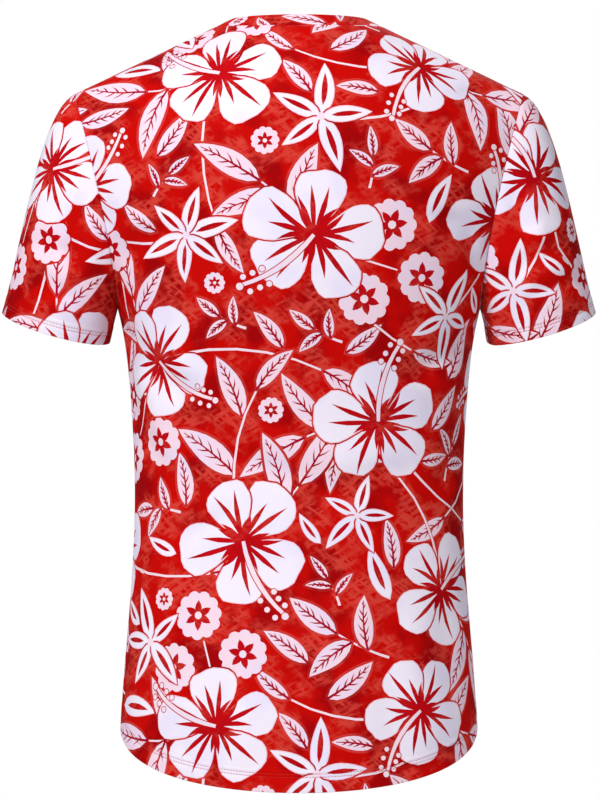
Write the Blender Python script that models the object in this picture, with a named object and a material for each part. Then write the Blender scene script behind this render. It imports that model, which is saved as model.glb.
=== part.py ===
"""A short-sleeved sports jersey, filled out with no wearer in it.

Back, front, two set-in sleeves and a neckband, each a thin closed wall of cloth with its real cut
edges, 0.3 mm from its neighbours at the seams. The back faces -Y, the wearer's left is -X and +Z is
up. The origin lies midway between the two neck points, where the shoulder seams end at the neckband.

The body follows one smooth form: at each height a rounded section of the figure, rolled over to meet
the plane Y = 0 along the shoulder line. The side and shoulder seams lie in that plane. A panel is a
grid over that form: its columns run from hem to shoulder, and its rows from seam to seam.
"""

import math

import bmesh
import bpy
import numpy as np

MM = 0.001

# Cloth and seams
WALL = 1.5 * MM
BAND_WALL = 2.0 * MM
SEAM_GAP = 0.3 * MM
LARGEST_MITRE = 2.0  # how much longer than the wall's thickness its edge may be at a sharp seam

# Neck and shoulders
NECK_HALF_WIDTH = 80 * MM
FRONT_NECK_DROP = 85 * MM
BAND_HEIGHT = 18 * MM
BAND_LIFT = 0.12  # how much more upright it stands at the back and front than the cloth there
SHOULDER_HALF_WIDTH = 213 * MM
SHOULDER_SLOPE = math.tan(math.radians(25.5))

# Armholes
UNDERARM_HALF_WIDTH = 172 * MM
UNDERARM_HEIGHT = -268 * MM
ARMHOLE_BEND = 1.4  # 1 is a straight seam as seen from the back, and more hollows it towards the neck

# Hem: height at the side seams, where the two panels meet
SIDE_HEM_HEIGHT = -663 * MM

# Sleeves, described for the +X side
CUFF_CENTRE = np.array((231, 11, -285)) * MM
CUFF_HALF_WIDTH = 53 * MM
CUFF_HALF_DEPTH = 58 * MM
ARM_LEAN = math.radians(16)  # of the lower sleeve, outwards from vertical
ARM_SWING = math.radians(9)  # and forwards, which drops the back of the cuff
CAP_LEAN_TOP = math.radians(64)  # of the cloth where it leaves the seam at the shoulder
CAP_LEAN_UNDER = math.radians(17)  # and at the underarm
CAP_FULLNESS = 0.12  # how far the cap swells to the front and back
CAP_PULL_TOP, CAP_PULL_MID = 0.50, 0.80  # how long it keeps that lean, as a share of the sleeve's length

# The figure under the cloth. The half width counts up to the underarm, and above it the armhole sets it.
FIGURE_COLUMNS = ("height", "half_width", "back_depth", "front_depth")
FIGURE = (
    (-723, 171.0, 121.0, 112.0),
    (-640, 168.0, 117.5, 110.0),
    (-540, 160.0, 106.0, 107.0),
    (-430, 156.0, 98.5, 108.0),
    (-350, 160.0, 104.0, 113.5),
    (-300, 165.3, 110.5, 117.5),
    (-268, 172.0, 114.5, 119.0),
    (-213, 190.0, 119.5, 117.0),
    (-167, 205.0, 121.0, 109.0),
    (-120, 220.0, 119.0, 94.5),
    (-85, 230.0, 115.5, 80.0),
    (-50, 240.0, 113.0, 67.0),
    (0, 255.0, 113.0, 57.0),
)
SECTION_POWER = 2.2  # 2 is an ellipse, and more is squarer
SIDE_ROUNDING = 0.45  # below the underarm, where the section turns through the side seam
YOKE_ROUNDING = 0.85  # above it, where the section runs on into the sleeve
ROUNDING_RISE = 160 * MM  # the height over which one becomes the other

# Grid of a panel and of a sleeve
HALF_COLUMNS = 12  # from the centre to a side seam, the first half of them under the neckline
NECK_CROWDING = 1.4  # above 1, the columns lie closer together towards the neck points
BODY_ROWS = 15
YOKE_ROWS = 12  # from the underarm to the shoulder, one for each step of the armhole
SLEEVE_ROWS = 9
BAND_ROWS = 2
STEP = 1e-3  # of a grid's parameters, for slopes


class Side:
    """What differs between the back panel and the front panel."""

    def __init__(self, facing, depth, roll, armhole_depth, neck_drop, hem_height):
        self.facing = facing  # -1 is the back, which faces -Y
        self.depth = depth  # the column of FIGURE with its depth
        self.roll = roll  # the height over which the cloth rolls over the shoulder
        self.armhole_depth = armhole_depth
        self.neck_drop = neck_drop
        self.hem_height = hem_height  # at the centre


BACK = Side(-1, "back_depth", 115 * MM, 54 * MM, 0.0, -723 * MM)
FRONT = Side(1, "front_depth", 100 * MM, 48 * MM, FRONT_NECK_DROP, -690 * MM)


def figure(column, height):
    """A column of FIGURE at any height, on the cubic spline through its rows that bends least."""
    table = np.array(FIGURE) * MM
    heights, values = table[:, 0], table[:, FIGURE_COLUMNS.index(column)]
    spans, rises = np.diff(heights), np.diff(values)
    bend_rows = np.eye(len(heights))
    turns = np.zeros(len(heights))
    for k in range(1, len(heights) - 1):
        bend_rows[k, k - 1 : k + 2] = spans[k - 1], 2 * (spans[k - 1] + spans[k]), spans[k]
        turns[k] = 6 * (rises[k] / spans[k] - rises[k - 1] / spans[k - 1])
    bends = np.linalg.solve(bend_rows, turns)
    height = np.clip(height, heights[0], heights[-1])
    row = np.clip(np.searchsorted(heights, height) - 1, 0, len(heights) - 2)
    span = spans[row]
    after = (height - heights[row]) / span
    before = 1 - after
    bulge = (before**3 - before) * bends[row] + (after**3 - after) * bends[row + 1]
    return before * values[row] + after * values[row + 1] + bulge * span**2 / 6


def ease(t):
    """0 to 1, level at both ends."""
    t = np.clip(t, 0, 1)
    return t * t * (3 - 2 * t)


def shoulder_line(x):
    """Height of the shoulder line, with a level crown where it crosses the open neck."""
    crown = 0.5 * NECK_HALF_WIDTH * (1 - (x / NECK_HALF_WIDTH) ** 2)
    return SHOULDER_SLOPE * np.where(np.abs(x) < NECK_HALF_WIDTH, crown, NECK_HALF_WIDTH - np.abs(x))


def shoulder_roll(side, x, z):
    """0 on the shoulder line and 1 where the cloth has rolled over to hang straight."""
    below = np.clip((shoulder_line(x) - z) / side.roll, 0, 1)
    return np.sqrt(1 - (1 - below) ** 2)


def armhole_x(z):
    """Half width between the armhole seams."""
    tip = shoulder_line(SHOULDER_HALF_WIDTH)
    t = np.clip((z - UNDERARM_HEIGHT) / (tip - UNDERARM_HEIGHT), 0, 1)
    return UNDERARM_HALF_WIDTH + (SHOULDER_HALF_WIDTH - UNDERARM_HALF_WIDTH) * t**ARMHOLE_BEND


def rounding(z):
    return SIDE_ROUNDING + (YOKE_ROUNDING - SIDE_ROUNDING) * ease((z - UNDERARM_HEIGHT) / ROUNDING_RISE)


def section_half_width(side, z):
    """Half width of the form's section, which above the underarm puts the armhole at its depth."""
    tip = shoulder_line(SHOULDER_HALF_WIDTH)
    middle, half_height = (tip + UNDERARM_HEIGHT) / 2, (tip - UNDERARM_HEIGHT) / 2
    margin = 1e-4 * half_height
    level = np.clip(z, UNDERARM_HEIGHT + margin, tip - margin)
    seam_x = armhole_x(level)
    seam_depth = side.armhole_depth * np.sqrt(1 - ((level - middle) / half_height) ** 2)
    share = seam_depth / (figure(side.depth, level) * shoulder_roll(side, seam_x, level))
    above = seam_x / (1 - share ** (1 / rounding(level))) ** (1 / SECTION_POWER)
    return np.where(z < UNDERARM_HEIGHT, figure("half_width", z), above)


def form_depth(side, x, z):
    """Distance of the cloth's outer face from the plane of the seams."""
    across = np.clip(np.abs(x) / section_half_width(side, z), 0, 1)
    section = (1 - across**SECTION_POWER) ** rounding(z)
    return figure(side.depth, z) * section * shoulder_roll(side, x, z)


def neckline_angle(s):
    """Angle round the neck from its centre, for the inner half of the top edge."""
    return math.pi / 2 * (1 - np.clip(1 - 2 * np.abs(s), 0, 1) ** NECK_CROWDING)


def top_edge(side, s):
    """Half width and height along the top edge: round the neck for the inner half, then the shoulder."""
    turn = neckline_angle(s)
    along = NECK_HALF_WIDTH + (SHOULDER_HALF_WIDTH - NECK_HALF_WIDTH) * (2 * np.abs(s) - 1)
    x = np.where(np.abs(s) < 0.5, NECK_HALF_WIDTH * np.sin(turn), along)
    return x, np.where(np.abs(s) < 0.5, -side.neck_drop * np.cos(turn), shoulder_line(x))


def panel_point(side, s, v):
    """Outer face of a panel. s runs from seam to seam, -1 to 1; v from hem, 0, to underarm, 1, to top, 2."""
    s, v = np.broadcast_arrays(np.clip(s, -1, 1).astype(float), np.clip(v, 0, 2).astype(float))
    hem = side.hem_height + (SIDE_HEM_HEIGHT - side.hem_height) * s**2
    body_z = hem + (UNDERARM_HEIGHT - hem) * np.minimum(v, 1)
    round_ring = np.abs(np.sin(math.pi / 2 * s))

    climb = (1 - np.cos(math.pi * np.clip(v - 1, 0, 1))) / 2
    tip = shoulder_line(SHOULDER_HALF_WIDTH)
    seam_x = armhole_x(UNDERARM_HEIGHT + (tip - UNDERARM_HEIGHT) * climb)
    top_x, top_z = top_edge(side, s)
    yoke_x = seam_x * ((1 - climb) * round_ring + climb * top_x / SHOULDER_HALF_WIDTH)
    yoke_z = UNDERARM_HEIGHT + (top_z - UNDERARM_HEIGHT) * climb

    in_body = v < 1
    z = np.where(in_body, body_z, yoke_z)
    x = np.where(in_body, section_half_width(side, body_z) * round_ring, yoke_x)
    y = side.facing * np.maximum(form_depth(side, x, z), SEAM_GAP / 2)
    return np.stack((np.sign(s) * x, y, z), axis=-1)


def unit(vectors):
    return vectors / np.linalg.norm(vectors, axis=-1, keepdims=True)


def normals(point, a, b):
    """Unit normals of the surface point(a, b), turned to the side that cross(d/da, d/db) shows."""
    along_a = point(a + STEP, b) - point(a - STEP, b)
    along_b = point(a, b + STEP) - point(a, b - STEP)
    return unit(np.cross(along_a, along_b))


def panel_parameters():
    s = np.arange(-HALF_COLUMNS, HALF_COLUMNS + 1) / HALF_COLUMNS
    v = np.concatenate((np.arange(BODY_ROWS) / BODY_ROWS, 1 + np.arange(YOKE_ROWS + 1) / YOKE_ROWS))
    return np.meshgrid(s, v)


def panel_surface(side):
    """Grid of outer points and outward normals, rows from the hem up."""
    s, v = panel_parameters()
    outer = panel_point(side, s, v)
    outward = normals(lambda a, b: panel_point(side, a, b), s, v) * -side.facing
    on_seam_plane = (np.abs(s) == 1) & (v <= 1) | (np.abs(s) >= 0.5) & (v == 2)
    outward[on_seam_plane, 1] = 0
    return outer, unit(outward)


def arm_frame():
    """Unit vectors down the lower sleeve, across it away from the body, and across it to the front."""
    out = np.array((math.cos(ARM_LEAN), 0, math.sin(ARM_LEAN)))
    hanging = np.array((math.sin(ARM_LEAN), 0, -math.cos(ARM_LEAN)))
    forward = np.array((0, 1, 0))
    down = math.cos(ARM_SWING) * hanging + math.sin(ARM_SWING) * forward
    front = math.cos(ARM_SWING) * forward - math.sin(ARM_SWING) * hanging
    return down, out, front


def sleeve_point(head, turn, w):
    """Outer face of the +X sleeve. turn goes round from the underarm, by the back; w from head to cuff."""
    down, out, front = arm_frame()
    up_share = ((1 - np.cos(turn)) / 2)[..., None]
    cuff = (
        CUFF_CENTRE
        - np.cos(turn)[..., None] * CUFF_HALF_WIDTH * out
        - np.sin(turn)[..., None] * CUFF_HALF_DEPTH * front
    )
    length = np.linalg.norm(cuff - head, axis=-1, keepdims=True)
    lean = CAP_LEAN_UNDER + (CAP_LEAN_TOP - CAP_LEAN_UNDER) * up_share
    swell = -CAP_FULLNESS * np.sin(turn)[..., None]
    leave = unit(np.concatenate((np.sin(lean), swell, -np.cos(lean)), axis=-1))
    top_pull, mid_pull = 1 - CAP_PULL_TOP, 4 * (1 - CAP_PULL_MID) - 2 * (1 - CAP_PULL_TOP)
    pull = 1 - (top_pull * up_share**2 + mid_pull * up_share * (1 - up_share))
    w = w[..., None]
    return (
        head * (1 + 2 * w) * (1 - w) ** 2
        + leave * length * pull * w * (1 - w) ** 2
        + cuff * w * w * (3 - 2 * w)
        - down * length * w * w * (1 - w)
    )


def ring_slope(ring):
    """Unit direction along a closed ring of points at each of them."""
    return unit(np.roll(ring, -1, axis=0) - np.roll(ring, 1, axis=0))


def panel_edge(surface, column, rows):
    outer, outward = surface
    return outer[rows, column], outward[rows, column]


def joined_ring(back_edge, front_edge):
    """One ring from the back panel's edge, then the front panel's the other way, corners shared."""
    points = np.concatenate((back_edge[0], front_edge[0][-2:0:-1]))
    outward = np.concatenate((back_edge[1], front_edge[1][-2:0:-1]))
    ends = [0, len(back_edge[0]) - 1]
    points[ends, 1] = 0
    outward[ends, 1] = 0
    return points, unit(outward)


def sleeve_grid(back, front):
    """Outer and inner points of the +X sleeve, rows from head to cuff, and the edge that the panels share."""
    armhole = slice(BODY_ROWS, None)
    seam, panel_normals = joined_ring(panel_edge(back, -1, armhole), panel_edge(front, -1, armhole))
    count = len(seam)
    turn = 2 * math.pi * np.arange(count) / count
    w = np.arange(SLEEVE_ROWS + 1) / SLEEVE_ROWS

    def surface(head):
        rows = [sleeve_point(head, turn, np.full(count, share)) for share in w]
        grid = np.array(rows)
        around = np.roll(grid, -1, axis=1) - np.roll(grid, 1, axis=1)
        along = np.gradient(grid, axis=0)
        return grid, unit(np.cross(along, around))

    sleeve_normals = surface(seam)[1][0]
    mitre = unit(panel_normals + sleeve_normals)
    reach = WALL * np.minimum(1 / np.sum(mitre * panel_normals, axis=-1), LARGEST_MITRE)[:, None]
    across = unit(np.cross(ring_slope(seam), mitre))
    outer, outward = surface(seam + SEAM_GAP * across)
    inner = outer - WALL * outward
    inner[0] = outer[0] - reach * mitre
    return outer, inner, reach * mitre


def set_armhole_edges(side, inner, outer, mitres):
    """Gives a panel's inner grid the mitred edge that the sleeve's head has, at both armholes."""
    own = mitres[-side.facing * np.arange(YOKE_ROWS + 1)]
    for column, mirror in ((-1, 1), (0, -1)):
        offset = own * np.array((mirror, 1, 1))
        inner[BODY_ROWS:, column] = outer[BODY_ROWS:, column] - offset


def neckband_grid(back, front):
    """Outer and inner points of the neckband, rows from its seam up."""
    neck = slice(HALF_COLUMNS // 2, HALF_COLUMNS // 2 + HALF_COLUMNS + 1)
    back_edge = tuple(grid[-1, neck] for grid in back)
    front_edge = tuple(grid[-1, neck] for grid in front)
    seam, outward = joined_ring(back_edge, front_edge)
    up = unit(np.cross(outward, ring_slope(seam)))
    lift = BAND_LIFT * np.abs(outward[:, 1])
    lean = unit(up + lift[:, None] * np.array((0, 0, 1)))
    heights = BAND_HEIGHT * np.arange(BAND_ROWS + 1) / BAND_ROWS
    outer = np.array([seam + SEAM_GAP * up + height * lean for height in heights])
    inner = outer - BAND_WALL * unit(outward - np.sum(outward * lean, axis=-1, keepdims=True) * lean)
    inner[0] = outer[0] - BAND_WALL * outward
    return outer, inner


def close_edge(bm, outer, inner):
    """Triangles between the lines of points along a cut edge. Each is split from the outer point that is
    further from the middle of the garment, so that the two sides of a seam match."""
    for k in range(len(outer) - 1):
        a, b, c, d = outer[k], outer[k + 1], inner[k + 1], inner[k]
        if abs(a.co.x) > abs(b.co.x):
            corners = ((a, b, c), (a, c, d))
        else:
            corners = ((a, b, d), (b, c, d))
        for triangle in corners:
            bm.faces.new(triangle)


def cloth(name, outer, inner, ring, colour):
    """A closed wall between two grids of points, rows by columns. A ring's last column meets its first."""
    rows, columns = outer.shape[:2]
    mesh = bpy.data.meshes.new(name)
    bm = bmesh.new()
    layers = [[[bm.verts.new(p) for p in row] for row in grid] for grid in (outer, inner)]
    spans = columns if ring else columns - 1

    for grid in layers:
        for r in range(rows - 1):
            for c in range(spans):
                d = (c + 1) % columns
                bm.faces.new((grid[r][c], grid[r][d], grid[r + 1][d], grid[r + 1][c]))
    for r in (0, rows - 1):
        close_edge(bm, *([grid[r][c % columns] for c in range(spans + 1)] for grid in layers))
    if not ring:
        for c in (0, columns - 1):
            close_edge(bm, *([line[c] for line in grid] for grid in layers))
    bmesh.ops.recalc_face_normals(bm, faces=bm.faces)
    bm.to_mesh(mesh)
    bm.free()
    mesh.shade_smooth()
    mesh.set_sharp_from_angle(angle=math.radians(50))
    mesh.materials.append(material(name, colour))
    piece = bpy.data.objects.new(name, mesh)
    bpy.context.collection.objects.link(piece)
    return piece


def material(name, colour):
    finish = bpy.data.materials.new(name)
    finish.use_nodes = True
    shader = finish.node_tree.nodes["Principled BSDF"]
    shader.inputs["Base Color"].default_value = (*colour, 1)
    shader.inputs["Roughness"].default_value = 0.8
    shader.inputs["Metallic"].default_value = 0
    return finish


def clear_scene():
    for thing in list(bpy.data.objects):
        bpy.data.objects.remove(thing, do_unlink=True)


PANEL_RED = (0.60, 0.03, 0.02)
BAND_RED = (0.52, 0.02, 0.02)


def build():
    clear_scene()
    surfaces = {side: panel_surface(side) for side in (BACK, FRONT)}
    sleeve_outer, sleeve_inner, mitres = sleeve_grid(surfaces[BACK], surfaces[FRONT])
    for name, side in (("back", BACK), ("front", FRONT)):
        outer, outward = surfaces[side]
        inner = outer - WALL * outward
        set_armhole_edges(side, inner, outer, mitres)
        cloth(name, outer, inner, False, PANEL_RED)
    for name, mirror in (("sleeve_left", -1), ("sleeve_right", 1)):
        hand = np.array((mirror, 1, 1))
        cloth(name, sleeve_outer * hand, sleeve_inner * hand, True, PANEL_RED)
    band_outer, band_inner = neckband_grid(surfaces[BACK], surfaces[FRONT])
    cloth("neckband", band_outer, band_inner, True, BAND_RED)


build()
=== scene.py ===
"""Looks of the short-sleeved jersey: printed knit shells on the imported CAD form.

Each piece is cut from the printed cloth: its form is flattened, the print's outlines are triangulated
in the flat cut, and every point is put back on the form with its folds, hems and turned-in seams.
"""

import math
from collections import namedtuple
from itertools import cycle

import bpy
import numpy as np
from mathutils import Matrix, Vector
from mathutils.bvhtree import BVHTree
from mathutils.geometry import delaunay_2d_cdt


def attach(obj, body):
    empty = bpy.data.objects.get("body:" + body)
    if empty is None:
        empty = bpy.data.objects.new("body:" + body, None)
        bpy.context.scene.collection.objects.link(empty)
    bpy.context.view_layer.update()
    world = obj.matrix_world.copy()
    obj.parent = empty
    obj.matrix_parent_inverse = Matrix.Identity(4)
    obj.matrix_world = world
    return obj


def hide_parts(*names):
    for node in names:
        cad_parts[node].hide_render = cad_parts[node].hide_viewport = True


MM = 0.001
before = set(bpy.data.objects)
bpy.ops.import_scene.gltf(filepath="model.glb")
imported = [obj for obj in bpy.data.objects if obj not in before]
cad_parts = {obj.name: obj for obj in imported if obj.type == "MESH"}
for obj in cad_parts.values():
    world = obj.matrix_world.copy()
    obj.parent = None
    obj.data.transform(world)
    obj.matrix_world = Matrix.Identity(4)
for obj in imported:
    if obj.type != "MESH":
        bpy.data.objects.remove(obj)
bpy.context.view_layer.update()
scene = bpy.context.scene


def angles(count):
    return 2 * math.pi * np.arange(count) / count


def around(turn):
    """Points at angles on a circle of radius 1."""
    return np.stack((np.cos(turn), np.sin(turn)), axis=-1)


def ease(t):
    """0 to 1, level at both ends."""
    t = np.clip(t, 0, 1)
    return t * t * (3 - 2 * t)


def lengths(vectors):
    return np.linalg.norm(vectors, axis=-1)


def unit(vectors):
    return vectors / np.maximum(lengths(vectors)[..., None], 1e-12)


def to_right(ways):
    """Flat directions, turned a quarter to the right."""
    return np.stack((ways[..., 1], -ways[..., 0]), axis=-1)


def spanned(first, second):
    """Signed area between two flat directions."""
    return first[..., 0] * second[..., 1] - first[..., 1] * second[..., 0]


def linked(name, data, place=(0, 0, 0)):
    item = bpy.data.objects.new(name, data)
    item.location = place
    scene.collection.objects.link(item)
    return item


def add_node(tree, kind, inputs, **settings):
    """A new node. Each of its inputs is a value or another node's output."""
    node = tree.nodes.new("ShaderNode" + kind)
    for name, value in settings.items():
        setattr(node, name, value)
    for name, value in inputs.items():
        if isinstance(value, bpy.types.NodeSocket):
            tree.links.new(value, node.inputs[name])
        else:
            node.inputs[name].default_value = value
    return node


def finish_of(name, colour, roughness):
    """A new material and its shader."""
    finish = bpy.data.materials.new(name)
    finish.use_nodes = True
    shader = finish.node_tree.nodes["Principled BSDF"]
    shader.inputs["Base Color"].default_value = (*colour, 1)
    shader.inputs["Roughness"].default_value = roughness
    return finish, shader


# ---------------------------------------------------------------- camera, light and floor

CAMERA_DISTANCE = 10.0
VIEW_HEIGHT = 760 * MM  # how much of the plane of the side seams the picture takes in
VIEW_CENTRE = Vector((1 * MM, 0, -354 * MM))
SENSOR = 36.0  # mm
LAMPS = (  # name, place, size and power
    ("key", (-1.5, -2.7, 1.9), 0.9, 114),
    ("fill", (2.6, -2.4, 0.6), 1.4, 14),
    ("top", (-0.2, -0.9, 1.9), 0.8, 9),
    ("behind", (0.5, 2.6, 1.0), 2.0, 40),
)
WORLD_LIGHT = 0.29  # of the world, which is white to look at, so that the lamps shape the folds
FLOOR_HEIGHT = -790 * MM  # just under the picture's lower edge
FLOOR_RADIUS = 1.4
FLOOR_CORNERS = 96
FLOOR_COLOUR, FLOOR_ROUGHNESS = (0.72, 0.72, 0.72), 0.9


def add_camera():
    data = bpy.data.cameras.new("camera")
    data.sensor_width = SENSOR
    data.lens = SENSOR * CAMERA_DISTANCE / VIEW_HEIGHT
    data.clip_end = 10 * CAMERA_DISTANCE
    scene.camera = linked("camera", data, VIEW_CENTRE - Vector((0, CAMERA_DISTANCE, 0)))
    scene.camera.rotation_euler = (math.pi / 2, 0, 0)


def add_lamps():
    for name, place, size, power in LAMPS:
        data = bpy.data.lights.new(name, "AREA")
        data.shape, data.size, data.energy = "DISK", size, power
        towards = VIEW_CENTRE - Vector(place)
        linked(name, data, place).rotation_euler = towards.to_track_quat("-Z", "Y").to_euler()


def add_world():
    """A world that lights the scene more faintly than it looks."""
    scene.world = bpy.data.worlds.new("studio")
    scene.world.use_nodes = True
    tree = scene.world.node_tree
    background = tree.nodes["Background"]
    seen = add_node(tree, "LightPath", {}).outputs["Is Camera Ray"]
    share = add_node(tree, "MapRange", {"Value": seen, "To Min": WORLD_LIGHT, "To Max": 1.0})
    tree.links.new(share.outputs["Result"], background.inputs["Strength"])
    background.inputs["Color"].default_value = (1, 1, 1, 1)


def add_floor():
    rim = (FLOOR_RADIUS * around(angles(FLOOR_CORNERS))).tolist()
    mesh = bpy.data.meshes.new("floor")
    mesh.from_pydata([(x, y, FLOOR_HEIGHT) for x, y in rim], [], [list(range(FLOOR_CORNERS))])
    mesh.materials.append(finish_of("floor", FLOOR_COLOUR, FLOOR_ROUGHNESS)[0])
    linked("floor", mesh)


add_camera()
add_world()
add_lamps()
add_floor()
scene.view_settings.view_transform = "Standard"

# ---------------------------------------------------------------- the form, as the CAD has it

SEAM_GAP = 0.3 * MM
NECK_HALF_WIDTH = 80 * MM
BAND_HEIGHT = 18 * MM
BAND_LIFT = 0.12
SHOULDER_HALF_WIDTH = 213 * MM
SHOULDER_SLOPE = math.tan(math.radians(25.5))
UNDERARM_HALF_WIDTH = 172 * MM
UNDERARM_HEIGHT = -268 * MM
ARMHOLE_BEND = 1.4
SIDE_HEM_HEIGHT = -663 * MM
CUFF_CENTRE = np.array((231, 11, -285)) * MM
CUFF_HALF_WIDTH = 53 * MM
CUFF_HALF_DEPTH = 58 * MM
ARM_LEAN = math.radians(16)
ARM_SWING = math.radians(9)
CAP_LEAN_TOP = math.radians(64)
CAP_LEAN_UNDER = math.radians(17)
CAP_FULLNESS = 0.12
CAP_PULL_TOP, CAP_PULL_MID = 0.50, 0.80
FIGURE_COLUMNS = ("height", "half_width", "back_depth", "front_depth")
FIGURE = (
    (-723, 171.0, 121.0, 112.0),
    (-640, 168.0, 117.5, 110.0),
    (-540, 160.0, 106.0, 107.0),
    (-430, 156.0, 98.5, 108.0),
    (-350, 160.0, 104.0, 113.5),
    (-300, 165.3, 110.5, 117.5),
    (-268, 172.0, 114.5, 119.0),
    (-213, 190.0, 119.5, 117.0),
    (-167, 205.0, 121.0, 109.0),
    (-120, 220.0, 119.0, 94.5),
    (-85, 230.0, 115.5, 80.0),
    (-50, 240.0, 113.0, 67.0),
    (0, 255.0, 113.0, 57.0),
)
SECTION_POWER = 2.2
SIDE_ROUNDING = 0.45
YOKE_ROUNDING = 0.85
ROUNDING_RISE = 160 * MM
NECK_CROWDING = 1.4
STEP = 1e-3  # of a form's parameters, for slopes

# What differs between the back panel and the front panel
Side = namedtuple("Side", "facing depth roll armhole_depth neck_drop hem_height")
BACK = Side(-1, "back_depth", 115 * MM, 54 * MM, 0.0, -723 * MM)
FRONT = Side(1, "front_depth", 100 * MM, 48 * MM, 85 * MM, -690 * MM)


def spline_bends(heights, values):
    """Second slopes of the cubic spline through a column that bends least."""
    spans, rises = np.diff(heights), np.diff(values)
    rows = np.eye(len(heights))
    turns = np.zeros(len(heights))
    for k in range(1, len(heights) - 1):
        rows[k, k - 1 : k + 2] = spans[k - 1], 2 * (spans[k - 1] + spans[k]), spans[k]
        turns[k] = 6 * (rises[k] / spans[k] - rises[k - 1] / spans[k - 1])
    return np.linalg.solve(rows, turns)


HEIGHTS = np.array(FIGURE)[:, 0] * MM
COLUMNS = {name: np.array(FIGURE)[:, k] * MM for k, name in enumerate(FIGURE_COLUMNS)}
BENDS = {name: spline_bends(HEIGHTS, column) for name, column in COLUMNS.items()}


def figure(column, height):
    """A column of FIGURE at any height."""
    values, bends = COLUMNS[column], BENDS[column]
    height = np.clip(height, HEIGHTS[0], HEIGHTS[-1])
    row = np.clip(np.searchsorted(HEIGHTS, height) - 1, 0, len(HEIGHTS) - 2)
    span = np.diff(HEIGHTS)[row]
    after = (height - HEIGHTS[row]) / span
    before = 1 - after
    bulge = (before**3 - before) * bends[row] + (after**3 - after) * bends[row + 1]
    return before * values[row] + after * values[row + 1] + bulge * span**2 / 6


def shoulder_line(x):
    crown = 0.5 * NECK_HALF_WIDTH * (1 - (x / NECK_HALF_WIDTH) ** 2)
    return SHOULDER_SLOPE * np.where(np.abs(x) < NECK_HALF_WIDTH, crown, NECK_HALF_WIDTH - np.abs(x))


TIP_HEIGHT = shoulder_line(SHOULDER_HALF_WIDTH)


def shoulder_roll(side, x, z):
    below = np.clip((shoulder_line(x) - z) / side.roll, 0, 1)
    return np.sqrt(1 - (1 - below) ** 2)


def armhole_x(z):
    t = np.clip((z - UNDERARM_HEIGHT) / (TIP_HEIGHT - UNDERARM_HEIGHT), 0, 1)
    return UNDERARM_HALF_WIDTH + (SHOULDER_HALF_WIDTH - UNDERARM_HALF_WIDTH) * t**ARMHOLE_BEND


def rounding(z):
    return SIDE_ROUNDING + (YOKE_ROUNDING - SIDE_ROUNDING) * ease((z - UNDERARM_HEIGHT) / ROUNDING_RISE)


def section_half_width(side, z):
    """Where the section of a panel at a height would reach the plane of the side seams."""
    middle, half_height = (TIP_HEIGHT + UNDERARM_HEIGHT) / 2, (TIP_HEIGHT - UNDERARM_HEIGHT) / 2
    margin = 1e-4 * half_height
    level = np.clip(z, UNDERARM_HEIGHT + margin, TIP_HEIGHT - margin)
    seam_x = armhole_x(level)
    seam_depth = side.armhole_depth * np.sqrt(1 - ((level - middle) / half_height) ** 2)
    share = seam_depth / (figure(side.depth, level) * shoulder_roll(side, seam_x, level))
    above = seam_x / (1 - share ** (1 / rounding(level))) ** (1 / SECTION_POWER)
    return np.where(z < UNDERARM_HEIGHT, figure("half_width", z), above)


def form_depth(side, x, z):
    across = np.clip(np.abs(x) / section_half_width(side, z), 0, 1)
    section = (1 - across**SECTION_POWER) ** rounding(z)
    return figure(side.depth, z) * section * shoulder_roll(side, x, z)


def top_edge(side, s):
    turn = math.pi / 2 * (1 - np.clip(1 - 2 * np.abs(s), 0, 1) ** NECK_CROWDING)
    along = NECK_HALF_WIDTH + (SHOULDER_HALF_WIDTH - NECK_HALF_WIDTH) * (2 * np.abs(s) - 1)
    x = np.where(np.abs(s) < 0.5, NECK_HALF_WIDTH * np.sin(turn), along)
    return x, np.where(np.abs(s) < 0.5, -side.neck_drop * np.cos(turn), shoulder_line(x))


def panel_point(side, s, v):
    """Outer face of a panel. s runs from seam to seam, -1 to 1; v from hem, 0, to underarm, 1, to top, 2."""
    s, v = np.broadcast_arrays(np.clip(s, -1, 1).astype(float), np.clip(v, 0, 2).astype(float))
    hem = side.hem_height + (SIDE_HEM_HEIGHT - side.hem_height) * s**2
    body_z = hem + (UNDERARM_HEIGHT - hem) * np.minimum(v, 1)
    round_ring = np.abs(np.sin(math.pi / 2 * s))
    climb = (1 - np.cos(math.pi * np.clip(v - 1, 0, 1))) / 2
    seam_x = armhole_x(UNDERARM_HEIGHT + (TIP_HEIGHT - UNDERARM_HEIGHT) * climb)
    top_x, top_z = top_edge(side, s)
    yoke_x = seam_x * ((1 - climb) * round_ring + climb * top_x / SHOULDER_HALF_WIDTH)
    yoke_z = UNDERARM_HEIGHT + (top_z - UNDERARM_HEIGHT) * climb
    in_body = v < 1
    z = np.where(in_body, body_z, yoke_z)
    x = np.where(in_body, section_half_width(side, body_z) * round_ring, yoke_x)
    y = side.facing * np.maximum(form_depth(side, x, z), SEAM_GAP / 2)
    return np.stack((np.sign(s) * x, y, z), axis=-1)


def surface_normals(point, a, b, low, high):
    """Unit normals of point(a, b), on the side that cross(d/da, d/db) shows, from inside its range."""
    a = np.clip(a, low[0] + STEP, high[0] - STEP)
    b = np.clip(b, low[1] + STEP, high[1] - STEP)
    along_a = point(a + STEP, b) - point(a - STEP, b)
    along_b = point(a, b + STEP) - point(a, b - STEP)
    return unit(np.cross(along_a, along_b))


RING_POINTS = 288


def smoothed(ring, passes):
    for _ in range(passes):
        ring = (np.roll(ring, 1, axis=0) + ring + np.roll(ring, -1, axis=0)) / 3
    return ring


def on_ring(ring, turn):
    """Values of a closed ring of points at angles round it."""
    place = np.asarray(turn) / (2 * math.pi) * len(ring)
    below = np.floor(place).astype(int)
    share = (place - below)[..., None]
    return ring[below % len(ring)] * (1 - share) + ring[(below + 1) % len(ring)] * share


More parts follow.
